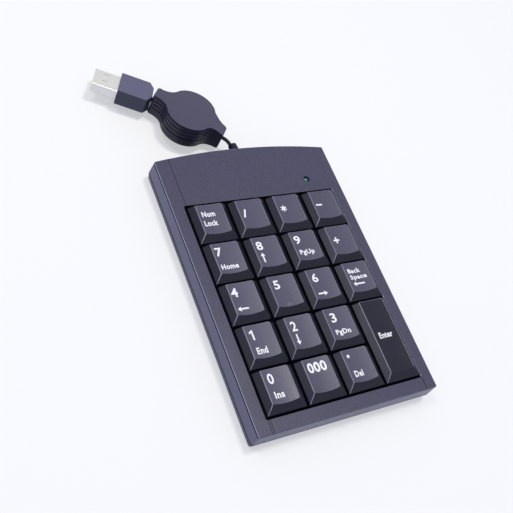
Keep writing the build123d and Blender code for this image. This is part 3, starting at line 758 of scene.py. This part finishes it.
# each word in its box: left, right, baseline and cap height from the middle of the key's top
legends = {
    "key_num_lock": [("Num", -4.6, 1.6, 1.0, 3.6), ("Lock", -4.85, 1.45, -3.5, -0.8)],
    "key_7": [("7", -5.2, -2.15, 0.8, 4.9), ("Home", -5.0, 2.9, -5.4, -3.0)],
    "key_8": [("8", -4.85, -1.75, 0.8, 4.9)],
    "key_9": [("9", -4.83, -1.7, 0.8, 4.9), ("PgUp", -4.5, 2.9, -4.4, -2.1)],
    "key_plus": [("+", -4.4, -1.25, -1.8, 1.3)],
    "key_4": [("4", -5.45, -2.3, 0.8, 4.9)],
    "key_5": [("5", -4.3, -1.5, 0.8, 4.9)],
    "key_6": [("6", -4.3, -1.4, 0.8, 4.9)],
    "key_backspace": [("Back", -4.6, 1.94, 1.8, 4.0), ("Space", -4.65, 4.05, -1.2, 0.9)],
    "key_1": [("1", -4.5, -2.7, 0.5, 4.8), ("End", -4.0, 0.85, -5.6, -2.75)],
    "key_2": [("2", -4.4, -1.7, 0.5, 4.8)],
    "key_3": [("3", -3.9, -1.1, 0.5, 4.8), ("PgDn", -4.2, 3.2, -5.05, -2.8)],
    "key_enter": [("Enter", -3.7, 3.3, -1.4, 1.3)],
    "key_0": [("0", -4.3, -1.6, 0.75, 5.13), ("Ins", -3.85, 0.45, -5.2, -2.35)],
    "key_000": [("000", -4.75, 4.1, 0.97, 5.3)],
    "key_point": [("Del", -4.05, 0.2, -5.05, -2.35)],
}
arrows = {
    "key_8": {"tail": (-3.47, -5.1), "tip": (-3.47, -0.5)},
    "key_2": {"tail": (-3.3, -0.8), "tip": (-3.45, -5.44)},
    "key_4": {"tail": (0.0, -4.65), "tip": (-5.13, -4.6)},
    "key_6": {"tail": (-4.34, -4.65), "tip": (0.34, -4.75)},
    "key_backspace": {"tail": (1.63, -3.5), "tip": (-4.44, -3.45)},
}
arrowShape = {"head": 1.6, "headHalf": 1.1, "shaftHalf": 0.36}
bars = {
    "key_divide": {"tail": (-4.35, -1.7), "tip": (-2.9, 2.35), "half": 0.4},
    "key_minus": {"tail": (-5.0, -0.25), "tip": (-1.7, -0.25), "half": 0.4},
    "key_point": {"tail": (-4.2, 4.1), "tip": (-2.95, 4.1), "half": 0.62},
}
star = {"centre": (-3.0, 0.25), "reach": 1.55, "half": 0.3, "arms": 6}
# the figure one, in shares of its box
oneShape = [(0.56, 0), (1, 0), (1, 1), (0.68, 1), (0, 0.8), (0, 0.64), (0.56, 0.76)]


def toMesh(obj):
    chooseOnly(obj)
    bpy.ops.object.convert(target="MESH")
    return bpy.context.view_layer.objects.active


def wordMesh(text, left, right, low, high):
    # a word or a figure, made and then fitted to its box
    if text == "1":
        return flatMesh("one", [Vector((left + (right - left) * u, low + (high - low) * v))
                                for u, v in oneShape])
    single = len(text) == 1
    bpy.ops.object.select_all(action="DESELECT")
    bpy.ops.object.text_add()
    obj = bpy.context.object
    obj.data.body = text
    weight = letter["weight"] if single else letter["wordWeight"]
    obj.data.offset = weight
    obj.data.space_character = 1 if single else letter["wordSpace"]
    obj.data.resolution_u = letter["steps"]
    obj.data.extrude = halfThick
    obj = toMesh(obj)
    xs = [v.co.x for v in obj.data.vertices]
    ys = [v.co.y for v in obj.data.vertices]
    base = min(ys) if single else -weight
    wide = (right - left) / (max(xs) - min(xs))
    tall = (high - low) / (max(ys) - base)
    for v in obj.data.vertices:
        v.co.x = left + (v.co.x - min(xs)) * wide
        v.co.y = low + (v.co.y - base) * tall
    return obj


def flatMesh(name, outline):
    data = bpy.data.curves.new(name, "CURVE")
    data.dimensions = "2D"
    data.fill_mode = "BOTH"
    data.extrude = halfThick
    spline = data.splines.new("POLY")
    spline.points.add(len(outline) - 1)
    for point, place in zip(spline.points, outline):
        point.co = (place.x, place.y, 0, 1)
    spline.use_cyclic_u = True
    return toMesh(link(bpy.data.objects.new(name, data)))


def leftOf(ahead):
    return Vector((-ahead.y, ahead.x))


def barMesh(tail, tip, half):
    tail, tip = Vector(tail), Vector(tip)
    aside = leftOf((tip - tail).normalized()) * half
    return flatMesh("bar", [tail - aside, tip - aside, tip + aside, tail + aside])


def arrowMesh(tail, tip):
    tail, tip = Vector(tail), Vector(tip)
    ahead = (tip - tail).normalized()
    aside = leftOf(ahead)
    neck = tip - ahead * arrowShape["head"]
    half, wing = aside * arrowShape["shaftHalf"], aside * arrowShape["headHalf"]
    return flatMesh("arrow", [tail - half, neck - half, neck - wing, tip,
                              neck + wing, neck + half, tail + half])


def starMesh(centre, reach, half, arms):
    # arms round a middle, the first one upright, and a corner between each two
    outline = []
    between = math.pi / arms
    for k in range(arms):
        angle = math.pi / 2 + 2 * between * k
        ahead = Vector((math.cos(angle), math.sin(angle)))
        aside = leftOf(ahead) * half
        inner = Vector((math.cos(angle + between), math.sin(angle + between)))
        outline += [ahead * reach - aside, ahead * reach + aside,
                    inner * half / math.sin(between)]
    return flatMesh("star", [Vector(centre) + point for point in outline])


def topHeight(x):
    # the top of a key is hollow across its width
    return (keyTop["edge"] + math.sqrt(keyTop["dish"] ** 2 - keyTop["half"] ** 2)
            - math.sqrt(keyTop["dish"] ** 2 - x ** 2))


for name in keyNames:
    parts = [wordMesh(*word) for word in legends.get(name, ())]
    if name in arrows:
        parts.append(arrowMesh(**arrows[name]))
    if name in bars:
        parts.append(barMesh(**bars[name]))
    if name == "key_multiply":
        parts.append(starMesh(**star))
    chooseOnly(*parts)
    if len(parts) > 1:
        bpy.ops.object.join()
    legend = bpy.context.view_layer.objects.active
    legend.name = "legend_" + name
    legend.data.name = legend.name
    closeSeams(legend, letter["gap"])
    low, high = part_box(name)
    middle = (low + high) / 2
    for v in legend.data.vertices:
        height = topHeight(v.co.x) + keyTop["ink"] * (halfThick + v.co.z)
        v.co = (middle.x + v.co.x * mm, middle.y + (v.co.y + keyTop["shift"]) * mm, height * mm)
    coat(legend, "legendInk")
    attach(legend, name)
print("legends laid on", len(keyNames), "keys")


# the plug lies upper side down, so its insert and contacts are under the face that shows
halfTurn = Matrix.Rotation(math.pi, 4, "X")


def turnOver(node):
    copy = link(nodes[node].copy())
    copy.data = nodes[node].data.copy()
    copy.parent = None
    for key in list(copy.keys()):
        del copy[key]
    copy.name = node + "_turned"
    copy.data.name = copy.name
    chooseOnly(copy)
    bpy.ops.object.mode_set(mode="EDIT")
    bpy.ops.mesh.select_all(action="SELECT")
    bpy.ops.mesh.remove_doubles(threshold=seamGap)
    bpy.ops.mesh.customdata_custom_splitnormals_clear()
    bpy.ops.object.mode_set(mode="OBJECT")
    unit = Matrix.Scale(mm, 4)
    place = unit @ plugFrame @ halfTurn @ plugFrame.inverted() @ unit.inverted()
    copy.data.transform(place)
    coat(copy, *finish[node])
    for face in copy.data.polygons:
        face.use_smooth = False
    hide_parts(node)
    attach(copy, "plug")


turnOver("plug_tongue")
turnOver("plug_contacts")
print("plug insert turned")


# the rubber mat, with a dome under each key (on the real pad each dome flattens as its key goes
# down)
dome = {
    "foot": 3.4,
    "top": 6.9,
    "footRadius": 3.7,
    "topRadius": 2.5,
    "sink": 0.05,
    "sides": 32,
    "keep": 0.15,
}


def matPiece(name, middle, size):
    # the new primitive, stretched to its size and put in its place
    piece = bpy.context.object
    piece.name = name
    piece.data.name = name
    for v in piece.data.vertices:
        v.co = [(centre + share * span) * mm for centre, share, span in zip(middle, v.co, size)]
    coat(piece, "domeRubber")
    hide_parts("dome_mat")
    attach(piece, "casing")
    return piece


low, high = [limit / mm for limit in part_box("dome_mat")]
bpy.ops.mesh.primitive_cube_add(size=1)
matPiece("dome_sheet",
         ((low.x + high.x) / 2, (low.y + high.y) / 2, (low.z + dome["foot"]) / 2),
         (high.x - low.x, high.y - low.y, dome["foot"] - low.z))
foot = dome["foot"] - dome["sink"]
for name in keyNames:
    low, high = [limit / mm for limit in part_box(name)]
    bpy.ops.mesh.primitive_cone_add(vertices=dome["sides"], radius1=dome["footRadius"],
                                    radius2=dome["topRadius"], depth=1)
    middle = ((low.x + high.x) / 2, (low.y + high.y) / 2, (foot + dome["top"]) / 2)
    piece = matPiece("dome_" + name, middle, (1, 1, dome["top"] - foot))
    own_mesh(piece)
print("domes set")


scene = bpy.context.scene
scene.view_settings.view_transform = "Standard"
